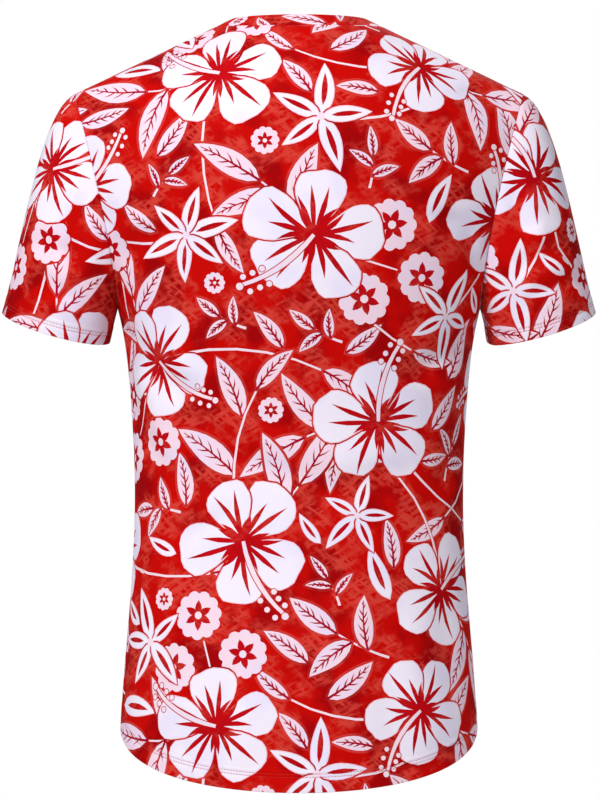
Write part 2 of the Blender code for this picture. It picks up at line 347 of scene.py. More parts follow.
def joined_edges(s_of, v_of):
    """A ring along an edge of the back panel, and then along the front's the other way, with its normals."""
    t = 2 * np.arange(RING_POINTS) / RING_POINTS
    points, outward = [], []
    for side, share, chosen in ((BACK, t, t < 1), (FRONT, 2 - t, t >= 1)):
        s, v = s_of(share[chosen]), v_of(share[chosen])
        points.append(panel_point(side, s, v))
        flip = -side.facing
        outward.append(flip * surface_normals(lambda a, b: panel_point(side, a, b), s, v, (-1, 0), (1, 2)))
    return np.concatenate(points), unit(smoothed(np.concatenate(outward), 8))


def ring_slope(ring):
    return unit(np.roll(ring, -1, axis=0) - np.roll(ring, 1, axis=0))


ARMHOLE, ARMHOLE_NORMALS = joined_edges(lambda t: np.ones_like(t), lambda t: 1 + t)
ARMHOLE_HEAD = ARMHOLE + SEAM_GAP * unit(np.cross(ring_slope(ARMHOLE), ARMHOLE_NORMALS))
NECK, NECK_NORMALS = joined_edges(lambda t: t - 0.5, lambda t: np.full_like(t, 2))
NECK_UP = unit(np.cross(NECK_NORMALS, ring_slope(NECK)))
NECK_LEAN = unit(smoothed(NECK_UP + BAND_LIFT * np.abs(NECK_NORMALS[:, 1:2]) * np.array((0, 0, 1)), 4))

# Directions at the +X sleeve: across the arm outwards, down along it, and towards its front
OUT = np.array((math.cos(ARM_LEAN), 0, math.sin(ARM_LEAN)))
HANGING = np.array((math.sin(ARM_LEAN), 0, -math.cos(ARM_LEAN)))
FORWARD = np.array((0, 1, 0))
DOWN = math.cos(ARM_SWING) * HANGING + math.sin(ARM_SWING) * FORWARD
ARM_FRONT = math.cos(ARM_SWING) * FORWARD - math.sin(ARM_SWING) * HANGING


def sleeve_point(turn, w):
    """Outer face of the +X sleeve. turn goes round from the underarm, by the back; w from head to cuff."""
    turn, w = np.broadcast_arrays(turn, w)
    head = on_ring(ARMHOLE_HEAD, turn)
    w, sine, cosine = (value[..., None] for value in (w, np.sin(turn), np.cos(turn)))
    up_share = (1 - cosine) / 2
    cuff = CUFF_CENTRE - cosine * CUFF_HALF_WIDTH * OUT - sine * CUFF_HALF_DEPTH * ARM_FRONT
    length = lengths(cuff - head)[..., None]
    lean = CAP_LEAN_UNDER + (CAP_LEAN_TOP - CAP_LEAN_UNDER) * up_share
    leave = unit(np.concatenate((np.sin(lean), -CAP_FULLNESS * sine, -np.cos(lean)), axis=-1))
    top_pull, mid_pull = 1 - CAP_PULL_TOP, 4 * (1 - CAP_PULL_MID) - 2 * (1 - CAP_PULL_TOP)
    pull = 1 - (top_pull * up_share**2 + mid_pull * up_share * (1 - up_share))
    return (
        head * (1 + 2 * w) * (1 - w) ** 2
        + leave * length * pull * w * (1 - w) ** 2
        + cuff * w * w * (3 - 2 * w)
        - DOWN * length * w * w * (1 - w)
    )


def band_point(turn, rise):
    """Outer face of the neckband. turn goes round from the wearer's left, by the back; rise from 0 to 1."""
    turn, rise = np.broadcast_arrays(turn, rise)
    foot = on_ring(NECK + SEAM_GAP * NECK_UP, turn)
    return foot + BAND_HEIGHT * rise[..., None] * on_ring(NECK_LEAN, turn)


# ---------------------------------------------------------------- folds

FOLD_GAIN = 1.6
RIDGE, RIDGE_PLACE = 0.45, 1.7  # of the low ridge beside a trough, in shares of its depth and width
CORE, CORE_FADE = 0.28, 0.2  # of a trough's length: either side of its middle at full depth, and the fade
BOW_REACH = 0.4  # how far past its ends a trough keeps its bow
SIDE_FADE = 24 * MM  # depth of the body over which the folds of back and front fade into the other's
SEAM_CALM, SEAM_FADE = 3 * MM, 16 * MM  # distance from the lower armhole seam without folds, and the fade
CALM_TOP, CALM_FADE = -150 * MM, 40 * MM  # where that ends, upwards
# Soft troughs in the cloth, in mm as seen from the back. Both sides of the garment have their own.
FOLDS = (
    # facing, then x and z of each end, sideways bow, width and depth
    # below the neckband, at the back
    (-1, -38, -6, 6, -16, -3, 7, 1.5),
    (-1, 10, -24, 62, -12, 4, 8, 1.2),
    # from the armpits, down the sides and across the shoulder blades
    (-1, -172, -262, -96, -352, -16, 13, 2.6),
    (-1, -176, -250, -118, -196, 14, 12, 2.2),
    (-1, -168, -292, -132, -420, -8, 11, 2.0),
    (-1, 172, -258, 104, -330, 14, 13, 2.8),
    (-1, 178, -246, 128, -178, -14, 12, 2.4),
    (-1, 166, -300, 126, -452, 10, 12, 2.2),
    # small of the back
    (-1, -70, -402, 34, -428, -9, 15, 1.5),
    (-1, 12, -452, 118, -424, 8, 14, 1.6),
    (-1, -128, -486, -58, -470, 5, 12, 1.2),
    (-1, -60, -560, -90, -690, 6, 16, 1.3),
    (-1, 84, -548, 96, -694, -6, 17, 1.4),
    (-1, 10, -600, 2, -700, 5, 18, 1.0),
    (-1, -134, -560, -150, -650, 6, 14, 1.4),
    (-1, 140, -540, 152, -640, -6, 14, 1.5),
    # shoulders and sleeves, at the back
    (-1, 150, -60, 206, -84, 5, 9, 1.6),
    (-1, -205, -90, -160, -66, 5, 9, 1.2),
    (-1, 208, -232, 262, -206, 5, 10, 2.0),
    (-1, 214, -262, 270, -240, 4, 9, 1.5),
    (-1, -206, -228, -252, -206, -5, 10, 1.9),
    (-1, -212, -258, -266, -246, -4, 9, 1.4),
    (-1, -188, -150, -214, -232, -8, 10, 2.0),
    (-1, 190, -146, 212, -226, 8, 10, 2.2),
    # front: from the armpits and the waist
    (1, -170, -262, -92, -330, -12, 13, 2.4),
    (1, 170, -266, 98, -322, 12, 13, 2.6),
    (1, -166, -300, -128, -420, -8, 12, 2.0),
    (1, 168, -296, 134, -436, 8, 12, 1.9),
    (1, -96, -430, 20, -448, -8, 15, 1.5),
    (1, -10, -472, 104, -440, 9, 15, 1.6),
    (1, -72, -560, -88, -670, 6, 16, 1.3),
    (1, 70, -540, 92, -660, -6, 16, 1.4),
    (1, -142, -560, -150, -640, 5, 14, 1.4),
    (1, 142, -552, 150, -646, -5, 14, 1.5),
    (1, -52, -116, 48, -120, -14, 10, 1.3),
    (1, 208, -228, 256, -212, 5, 10, 1.8),
    (1, -208, -232, -260, -214, -5, 10, 1.9),
    (1, 192, -146, 212, -222, 8, 10, 2.0),
    (1, -190, -152, -212, -228, -8, 10, 2.1),
)


def fold_depth(points):
    """How far the folds sink each point of the form."""
    x, y, z = points[..., 0], points[..., 1], points[..., 2]
    sunk = np.zeros(x.shape)
    for facing, *sizes in FOLDS:
        ax, az, bx, bz, bow, width, depth = (value * MM for value in sizes)
        dx, dz = bx - ax, bz - az
        length = math.hypot(dx, dz)
        along = ((x - ax) * dx + (z - az) * dz) / length**2
        aside = ((z - az) * dx - (x - ax) * dz) / length
        bent = np.clip(along, -BOW_REACH, 1 + BOW_REACH)
        across = (aside - bow * 4 * bent * (1 - bent)) / width
        fade = np.exp(-((np.maximum(np.abs(along - 0.5) - CORE, 0) / CORE_FADE) ** 2))
        section = np.exp(-(across**2)) - RIDGE * np.exp(-((across - RIDGE_PLACE) ** 2))
        sunk += FOLD_GAIN * depth * fade * ease(facing * y / SIDE_FADE) * section
    # none at the lower half of the armhole seam, where body and sleeve face each other
    off_seam = np.hypot(np.abs(x) - armhole_x(z), np.maximum(UNDERARM_HEIGHT - z, 0))
    return sunk * np.maximum(ease((off_seam - SEAM_CALM) / SEAM_FADE), ease((z - CALM_TOP) / CALM_FADE))


# ---------------------------------------------------------------- flattening


def flatten(points, passes=14):
    """Flat cut of a grid of points, rows by columns, that keeps each triangle as near rigid as it can.

    Flat places are complex numbers here.
    """
    rows, columns = points.shape[:2]
    x = np.concatenate((np.zeros((rows, 1)), np.cumsum(lengths(np.diff(points, axis=1)), axis=1)), axis=1)
    x -= x[:, columns // 2][:, None]
    y = np.concatenate((np.zeros((1, columns)), np.cumsum(lengths(np.diff(points, axis=0)), axis=0)))
    flat = (x + 1j * y).ravel()
    solid = points.reshape(-1, 3)
    starts = grid_triangles(rows, columns).T
    ends = np.roll(starts, -1, axis=0)

    first, second, third = solid[starts]
    side, slant = second - first, third - first
    base, height = lengths(side), lengths(np.cross(side, slant))
    rest = np.stack((0 * base, base, (np.sum(side * slant, axis=-1) + 1j * height) / base))
    rest -= np.roll(rest, -1, axis=0)
    across = solid[np.roll(starts, -2, axis=0)]
    to_start, to_end = solid[starts] - across, solid[ends] - across
    area = np.maximum(lengths(np.cross(to_start, to_end)), 1e-12)
    weights = np.clip(np.sum(to_start * to_end, axis=-1) / area, 0.02, 20) / 2

    laplacian = 1e-9 * np.eye(len(solid)) + 1e-6 / len(solid)
    for p, q in ((starts, ends), (ends, starts)):
        np.add.at(laplacian, (p, p), weights)
        np.add.at(laplacian, (p, q), -weights)
    solve = np.linalg.inv(laplacian)
    for _ in range(passes):
        spin = np.sum(weights * (flat[starts] - flat[ends]) * rest.conj(), axis=0)
        pull = weights * rest * spin / np.abs(spin)
        right = np.zeros(len(solid), complex)
        np.add.at(right, starts, pull)
        np.add.at(right, ends, -pull)
        flat = solve @ right
    return np.stack((flat.real, flat.imag), axis=-1).reshape(rows, columns, 2)


def grid_triangles(rows, columns):
    corner = np.arange(rows * columns).reshape(rows, columns)
    a, b = corner[:-1, :-1].ravel(), corner[:-1, 1:].ravel()
    c, d = corner[1:, 1:].ravel(), corner[1:, :-1].ravel()
    return np.concatenate((np.stack((a, b, c), -1), np.stack((a, c, d), -1)))


# ---------------------------------------------------------------- the print: flowers and leaves

SEPARATION = 1.5 * MM  # the red line that a motif keeps round it where it lies on another
HALO = 2.6 * MM  # the lighter wash round a leaf
RIM = 0.9 * MM
PETAL_LAYERS = (("ground", SEPARATION), ("rim", 0), ("petal", -RIM))
RING_LOOK, LEAF_LOOK = 24, 9  # points round a petal and along a leaf


def turned(points, degrees, origin=(0, 0)):
    a = math.radians(degrees)
    return points @ np.array(((math.cos(a), math.sin(a)), (-math.sin(a), math.cos(a)))) + np.array(origin)


def ahead(distance, degrees, origin=(0, 0)):
    """The place that far off in a direction."""
    return turned(np.array((distance, 0)), degrees, origin)


def placed(shapes, degrees, origin):
    return [(ink, turned(outline, degrees, origin)) for ink, outline in shapes]


def edge_normals(outline):
    """Unit normals of a closed counterclockwise outline at its points, outwards."""
    along = np.roll(outline, -1, axis=0) - np.roll(outline, 1, axis=0)
    return unit(to_right(along))


def grown(outline, by):
    return outline + by * edge_normals(outline)


def layered(outline, layers=PETAL_LAYERS):
    """A shape in several inks, each grown by its own width."""
    return [(ink, grown(outline, by)) for ink, by in layers]


def wobble(count, size, seed, waves):
    """An uneven closed ripple, for lines that look drawn by hand."""
    t = angles(count)
    return size * sum(np.sin(n * t + 1.7 * seed * n) / math.sqrt(k + 1) for k, n in enumerate(waves))


def brushed(points, widths):
    """Outline of a stroke along points, with its width at each. A width of 0 gives a pointed end."""
    along = unit(np.gradient(points, axis=0))
    side = to_right(along) * (np.asarray(widths) / 2)[:, None]
    left, right = points - side, points + side
    first = 1 if widths[0] == 0 else 0
    last = -1 if widths[-1] == 0 else None
    return np.concatenate((right, left[first:last][::-1]))


def arc(length, bend, count):
    """Points along a curve that sets out along +X and turns evenly by bend degrees over its length."""
    t = np.linspace(0, 1, count)
    if abs(bend) < 1e-3:
        return length * np.stack((t, 0 * t), axis=-1)
    turn, radius = math.radians(bend) * t, length / math.radians(bend)
    return radius * np.stack((np.sin(turn), 1 - np.cos(turn)), axis=-1)


def disc(centre, radius, count=9):
    return np.array(centre) + radius * around(angles(count))


def petal(length, width, seed):
    """Broad petal along +X from the flower's centre, narrow at its foot, with an uneven outer edge."""
    t = angles(RING_LOOK)
    x = length * (0.56 + 0.44 * np.cos(t))
    y = width / 2 * np.sin(t) * (1 + 0.42 * np.cos(t) - 0.10 * np.cos(t) ** 2)
    sway = 0.05 * length * math.sin(2.6 * seed) * (x / length) ** 2
    outline = np.stack((x, y + sway), axis=-1)
    frill = wobble(RING_LOOK, 0.013 * length, seed, (4, 7, 9)) * (1 + np.cos(t)) / 2
    return outline + frill[:, None] * edge_normals(outline)


PETAL_LENGTHS = (1.0, 0.93, 1.04, 0.95, 0.99)
PETAL_WIDTHS = (0.74, 0.68, 0.72, 0.78, 0.66)
STREAKS = ((-23, 0.46), (-8, 0.72), (7, 0.80), (21, 0.52))  # angle from the petal's middle, and length
STREAK_WIDTHS = 0.076 * np.array((0.45, 0.7, 0.95, 1, 0.55, 0))
COLUMN_WIDTHS = 0.075 * np.array((0.7, 0.85, 1, 1, 0.95, 0.85, 0.75, 0.7))
STAMENS = ((0.99, 0, 0.055), (0.9, 1, 0.044), (0.92, -1, 0.044), (0.8, -1.05, 0.044), (0.79, 1, 0.044),
           (0.69, 1.1, 0.044), (0.68, -1, 0.044))  # place along the column, side and size


def hibiscus(x, y, radius, turn, column):
    """Five petals with a red throat and streaks, and a long column of stamens towards an angle."""
    seed = x * 13 + y * 7
    shapes = []
    for k in (0, 3, 1, 4, 2):
        angle = turn + 72 * k + 5 * math.sin(seed + 2 * k)
        outline = petal(radius * PETAL_LENGTHS[k], radius * PETAL_WIDTHS[(k + int(radius * 1e3)) % 5], seed + k)
        shapes += placed(layered(outline), angle, (x, y))
        for n, (lean, reach) in enumerate(STREAKS):
            reach *= radius * (1 + 0.17 * math.sin(3.1 * seed + 5 * k + 2.3 * n))
            sway = 20 * math.sin(2.7 * seed + 3 * k + 1.9 * n)
            stroke = brushed(arc(reach, lean + sway, len(STREAK_WIDTHS)), radius * STREAK_WIDTHS)
            shapes.append(("streak", turned(stroke, angle + lean - 0.4 * sway, (x, y))))
    t = angles(20)
    throat = radius * (0.11 + 0.04 * np.cos(5 * (t - math.radians(turn))))
    shapes.append(("streak", np.array((x, y)) + throat[:, None] * around(t)))
    bend = 38 if math.sin(seed) > 0 else -38
    reach, heading = 1.28 * radius, column - bend / 2
    line = brushed(arc(reach, bend, len(COLUMN_WIDTHS)), radius * COLUMN_WIDTHS)
    shapes += placed(layered(line, (("streak", 0.9 * MM), ("stem", 0))), heading, (x, y))
    for along, side, size in STAMENS:
        facing = math.radians(bend * along)
        spot = arc(1.03 * reach * along, bend * along, 2)[1]
        spot = spot + side * 0.115 * radius * np.array((-math.sin(facing), math.cos(facing)))
        for ink, by in (("streak", 0.8 * MM), ("stem", 0)):
            shapes.append((ink, turned(disc(spot, size * radius + by), heading, (x, y))))
    return shapes


def blade(width, count=LEAF_LOOK, shoulder=0.8):
    """Widths along a leaf, pointed at both ends."""
    widths = width * np.sin(math.pi * np.linspace(0, 1, count) ** shoulder) ** 0.85
    widths[[0, -1]] = 0
    return widths


def leaf(x, y, heading, length, bend, seed=0.0):
    widths = blade((0.34 + 0.04 * math.sin(seed)) * length)
    outline = brushed(arc(length, bend, LEAF_LOOK), widths)
    shapes = [("halo", grown(outline, HALO)), ("leaf", outline)]
    shapes.append(("vein", brushed(arc(0.9 * length, 0.9 * bend, 6), MM * np.linspace(2.5, 0.8, 6))))
    for k in range(4 if length < 45 * MM else 5):
        for side in (-1, 1):
            at = 0.14 + 0.16 * k + 0.03 * side + 0.02 * math.sin(seed + 3 * k)
            room = np.interp(at + 0.08, np.linspace(0, 1, LEAF_LOOK), widths) / 2
            vein = brushed(arc(1.15 * room, -22 * side, 3), MM * np.array((1.7, 1.3, 0)))
            foot = arc(length * at, bend * at, 2)[1]
            shapes.append(("vein", turned(vein, bend * at + 42 * side, foot)))
    return placed(shapes, heading, (x, y))


def hollow_leaf(x, y, heading, length, bend):
    """A white leaf with a red slit along it."""
    shapes = layered(brushed(arc(length, bend, LEAF_LOOK), blade(0.34 * length)))
    slit = 0.095 * length * np.array((0, 0.8, 1, 1, 0.6, 0))
    shapes.append(("streak", brushed(arc(length, bend, 17)[3:14:2], slit)))
    return placed(shapes, heading, (x, y))


def star_flower(x, y, radius, turn, petals):
    """Narrow pointed petals, each with a red slit."""
    shapes = []
    for k in range(petals):
        reach = radius * (1 + 0.12 * math.sin(2.2 * k + x * 50))
        shapes += hollow_leaf(0, 0, turn + 360 / petals * k, reach, 14 * math.sin(k + y * 40))
    shapes.append(("stem", disc((0, 0), 0.08 * radius)))
    return placed(shapes, 0, (x, y))


def daisy(x, y, radius, turn):
    """A small round blossom with a scalloped edge and a red star in it."""
    t = angles(44)
    edge = radius * (0.88 + 0.12 * np.abs(np.cos(5.5 * t)) ** 0.7)
    shapes = [("ground", disc((0, 0), radius + SEPARATION, 20)), ("leaf", edge[:, None] * around(t))]
    ray = brushed(arc(0.62 * radius, 0, 5), blade(0.30 * radius, 5, 0.9))
    shapes += [("streak", turned(ray, turn + 60 * k)) for k in range(6)]
    shapes.append(("stem", disc((0, 0), 0.16 * radius, 8)))
    return placed(shapes, turn, (x, y))


def stem(x, y, heading, length, bend, thick=2.0):
    stroke = brushed(arc(length, bend, 7), MM * thick * np.linspace(1.25, 0.8, 7))
    return placed(layered(stroke, (("ground", 0.7 * MM), ("stem", 0))), heading, (x, y))


def sprig(x, y, heading, size, bend, leaves):
    """A stem that ends in a leaf, with more leaves on its sides."""
    line = turned(arc(0.62 * size, bend, 101), heading, (x, y))
    shapes = stem(x, y, heading, 0.62 * size, bend)
    shapes += leaf(*line[100], heading + bend, 0.62 * size, 0.5 * bend, heading)
    for k in range(leaves - 1):
        side = 1 if (k + int(heading)) % 2 else -1
        way = heading + bend * 0.5 + 52 * side
        shapes += leaf(*line[70 - 30 * k], way, 0.58 * size, 22 * side, k + heading)
    return shapes


def spray(x, y, heading, size, bend):
    """Three small blossoms on forked stems."""
    fork = turned(arc(0.35 * size, bend, 2), heading, (x, y))[1]
    shapes = stem(x, y, heading, 0.35 * size, bend, 1.7)
    blossoms = []
    for side, reach in ((-1, 0.42), (0.1, 0.72), (1.15, 0.48)):
        way = heading + bend + 48 * side
        end = ahead(reach * size, way, fork)
        shapes += stem(*fork, way, reach * size, 8 * side, 1.6)
        blossoms += daisy(*end, 0.235 * size, way)
    return shapes + blossoms


REPEAT = np.array((600, 620)) * MM  # of the printed cloth, across and along
HIBISCUS = (  # x, y, radius, turn of the first petal, heading of the column
    (-75, -60, 66, 20, 150),
    (120, -45, 60, 50, 240),
    (-215, -165, 60, 75, 50),
    (15, -215, 73, 8, 215),
    (205, -195, 64, 40, 100),
    (-140, -335, 62, 60, 330),
    (80, -390, 68, 25, 75),
    (245, -365, 58, 10, 190),
    (-50, -505, 71, 45, 300),
    (150, -550, 62, 65, 30),
    (-225, -510, 62, 15, 200),
)
STARS = (  # x, y, radius, turn, petals
    (20, -105, 52, 80, 5),
    (-105, -215, 50, 20, 6),
    (150, -290, 48, 60, 5),
    (-245, -400, 52, 10, 6),
    (-150, -600, 52, 30, 5),
    (60, -480, 42, 75, 5),
    (250, -80, 48, 70, 5),
)
SPRIGS = (  # x, y, heading, size, bend, leaves
    (-75, -60, 205, 130, -30, 3),
    (15, -215, 125, 120, 20, 3),
    (-140, -335, 130, 115, -25, 3),
    (80, -390, 180, 125, 25, 3),
    (205, -195, 70, 110, 25, 2),
    (-50, -505, 35, 130, 20, 2),
    (150, -550, 320, 120, -20, 3),
    (-225, -510, 120, 120, 20, 3),
    (120, -45, 330, 120, 25, 3),
    (245, -365, 300, 120, 25, 3),
)
SPRAYS = (  # x, y, heading, size, bend
    (15, -215, 320, 105, 20),
    (-140, -335, 255, 100, -20),
    (245, -365, 50, 95, 20),
    (-215, -165, 240, 95, 20),
    (-75, -60, 80, 100, 20),
)
VINES = (  # x, y, heading, length, bend
    (-75, -60, 250, 150, 40),
    (120, -45, 200, 130, -50),
    (15, -215, 290, 150, 45),
    (-215, -165, 300, 150, -40),
    (205, -195, 260, 140, 50),
    (-140, -335, 20, 170, -45),
    (80, -390, 300, 150, 40),
    (245, -365, 250, 150, -35),
    (-50, -505, 110, 150, -50),
    (150, -550, 95, 140, 45),
    (-225, -510, 330, 150, 40),
    (-245, -400, 250, 110, 40),
    (20, -105, 350, 110, 45),
    (-105, -215, 200, 100, -45),
    (150, -290, 30, 110, 50),
)

FILL_CELL = 6 * MM  # spacing of the places that are tried for a filler
FILL_MARGIN = 8.5 * MM
SMALLEST_GAP = 17 * MM  # distance from a gap's middle to the nearest shape, below which it stays bare
BLOSSOM_RADIUS = (10 * MM, 15 * MM)
SMALLEST_LEAF = 30 * MM
LONGEST_LEAF = 74 * MM


def fillers(shapes):
    """Leaves and small blossoms for the gaps between the shapes, the widest gap first."""
    sides = [np.arange(0, side, FILL_CELL) for side in REPEAT]
    cells = np.stack(np.meshgrid(*sides), axis=-1).reshape(-1, 2)
    room = np.full(len(cells), np.inf)

    def take(shapes):
        for ink, outline in shapes:
            if ink in ("rim", "leaf", "stem"):
                middle = outline.mean(axis=0)
                points = np.concatenate([middle + share * (outline[::3] - middle) for share in (1, 0.6, 0)])
                apart = cells[:, None] - points
                apart -= REPEAT * np.round(apart / REPEAT)
                np.minimum(room, np.sqrt((apart**2).sum(axis=-1).min(axis=1)), out=room)

    def room_at(point):
        column, row = np.minimum(((point % REPEAT) / FILL_CELL).astype(int), [len(side) - 1 for side in sides])
        return room[row * len(sides[0]) + column]

    take(shapes)
    added = []
    for kind in cycle(range(4)):
        if room.max() <= SMALLEST_GAP:
            return added
        widest = int(room.argmax())
        centre, free = cells[widest], room[widest] - FILL_MARGIN
        best = (0, 0)
        for heading in range(0, 180, 15):
            way = ahead(1, heading)
            reach = 0
            while reach < LONGEST_LEAF / 2 and min(
                room_at(centre + reach * way), room_at(centre - reach * way)
            ) > FILL_MARGIN:
                reach += 2 * MM
            best = max(best, (reach, heading))
        reach, heading = best
        length = min(2 * reach, 5 * free, LONGEST_LEAF)
        bow = 18 * (-1) ** kind
        new = []
        if free > 21 * MM:
            foot = centre - ahead(1.1 * free, heading)
            new = sprig(*foot, heading, 2.0 * free, bow, 3)
        elif length > SMALLEST_LEAF and not (kind == 1 and free > BLOSSOM_RADIUS[0]):
            foot = centre - ahead(length / 2, heading)
            new = (hollow_leaf if kind == 3 else leaf)(*foot, heading, length, bow)
        elif free > BLOSSOM_RADIUS[0]:
            new = daisy(*centre, min(free, BLOSSOM_RADIUS[1]), heading)
        added += new
        take(new)
        room[widest] = 0


def one_repeat():
    """Shapes of the print, lowest first, each with its ink."""
    under, over = [], []
    for x, y, heading, length, bend in VINES:
        under += stem(x * MM, y * MM, heading, length * MM, bend, 2.3)
        end = turned(arc(length * MM, bend, 2), heading, (x * MM, y * MM))[1]
        under += leaf(*end, heading + bend, 0.34 * length * MM, 0.5 * bend, length)
    for x, y, heading, size, bend, leaves in SPRIGS:
        under += sprig(x * MM, y * MM, heading, 0.95 * size * MM, bend, leaves)
    for x, y, heading, size, bend in SPRAYS:
        under += spray(x * MM, y * MM, heading, size * MM, bend)
    for x, y, radius, turn, petals in STARS:
        over += star_flower(x * MM, y * MM, 0.95 * radius * MM, turn, petals)
    for x, y, radius, turn, column in HIBISCUS:
        over += hibiscus(x * MM, y * MM, 0.9 * radius * MM, turn, column)
    return fillers(under + over) + under + over


PRINT = one_repeat()


def print_over(low, high):
    """Every shape of the print that reaches into a rectangle of the cloth, lowest first."""
    found = []
    for ink, outline in PRINT:
        near, far = outline.min(axis=0), outline.max(axis=0)
        first = np.ceil((low - far) / REPEAT).astype(int)
        last = np.floor((high - near) / REPEAT).astype(int)
        for i in range(first[0], last[0] + 1):
            for j in range(first[1], last[1] + 1):
                found.append((ink, outline + np.array((i, j)) * REPEAT))
    return found


# ---------------------------------------------------------------- cutting and making up

GRID, INNER_GRID = 6.5 * MM, 9 * MM  # spacing of the points between the print's outlines, and of the reverse's
EDGE_SPACING, LINE_SPACING = 3.5 * MM, 5 * MM  # of the points along a cut's edge and along a hem
SEAM_INSET = 0.6 * MM  # where the cloth starts to turn in at a seam or an edge
WALL = 0.8 * MM
HEM_WALL = 1.7 * MM  # three layers, at the hems
HEM_RISE = 0.35 * MM  # how far a hem stands proud
HEM_STEP = 1.2 * MM  # the length over which the wall thickens there
HEM_FADE = 2.2 * MM  # and over which its outer face sinks back
STITCH_ROWS = (2.5 * MM, 5.5 * MM)  # of a hem's twin-needle stitching, from its upper edge
STITCH_GROOVE, GROOVE_WIDTH = 0.30 * MM, 0.8 * MM
CURVED_SEAM = 8 * MM  # distance from a folded edge over which the seam allowances begin
BODY_HEM, CUFF_HEM = 20 * MM, 15 * MM
# Sections of the cloth's edge, in mm: outwards and down from the line where it starts to turn
SEAM_PROFILE = ((0.32, 0.05), (0.6, 0.2), (0.73, 0.45), (0.73, 0.0), (0.73, 0.05), (0.73, 0.3), (0.2, 0.35))
FOLD_PROFILE = ((0.3, 0.06), (0.5, 0.28), (0.61, 0.6), (0.61, 0.95), (0.52, 1.3), (0.36, 1.52), (0.16, 1.65))
ALLOWANCE_ROWS, LAST_ROWS = (4, 5), (3, 4, 5, 6)  # of the seam's section: its allowance, and those it hangs on
ALLOWANCE = 1.5 * MM  # how far the seam allowance reaches behind the next piece
STRIPS_BEHIND = 2  # of the edge's strips, those that face inwards and show the cloth's reverse

INKS = {  # colour, and how much of the ground's mottling shows in it
    "ground": ((0.52, 0.002, 0.001), 1.0),
    "halo": ((0.56, 0.034, 0.030), 1.0),
    "rim": ((0.82, 0.50, 0.58), 0.0),
    "petal": ((0.82, 0.76, 0.88), 0.0),
    "leaf": ((0.83, 0.62, 0.73), 0.0),
    "stem": ((0.84, 0.66, 0.74), 0.0),
    "streak": ((0.46, 0.002, 0.006), 0.5),
    "vein": ((0.36, 0.002, 0.022), 0.5),
}
INK_NAMES = list(INKS)
REVERSE = np.array((0.82, 0.66, 0.70))  # the unprinted side, with the print faintly through it
SHOW_THROUGH = 0.16

# Where a piece's folds end, in its second parameter: above its top for a sleeve, and below the neckband's foot
FOLDS_END = {"back": 2, "front": 2, "sleeve_left": 9, "sleeve_right": 9, "neckband": -1}
FOLDS_FADE = 0.2  # the parameter's range over which they fade there


def flat_tree(points, triangles):
    return BVHTree.FromPolygons([(*p, 0.0) for p in points], triangles.tolist())


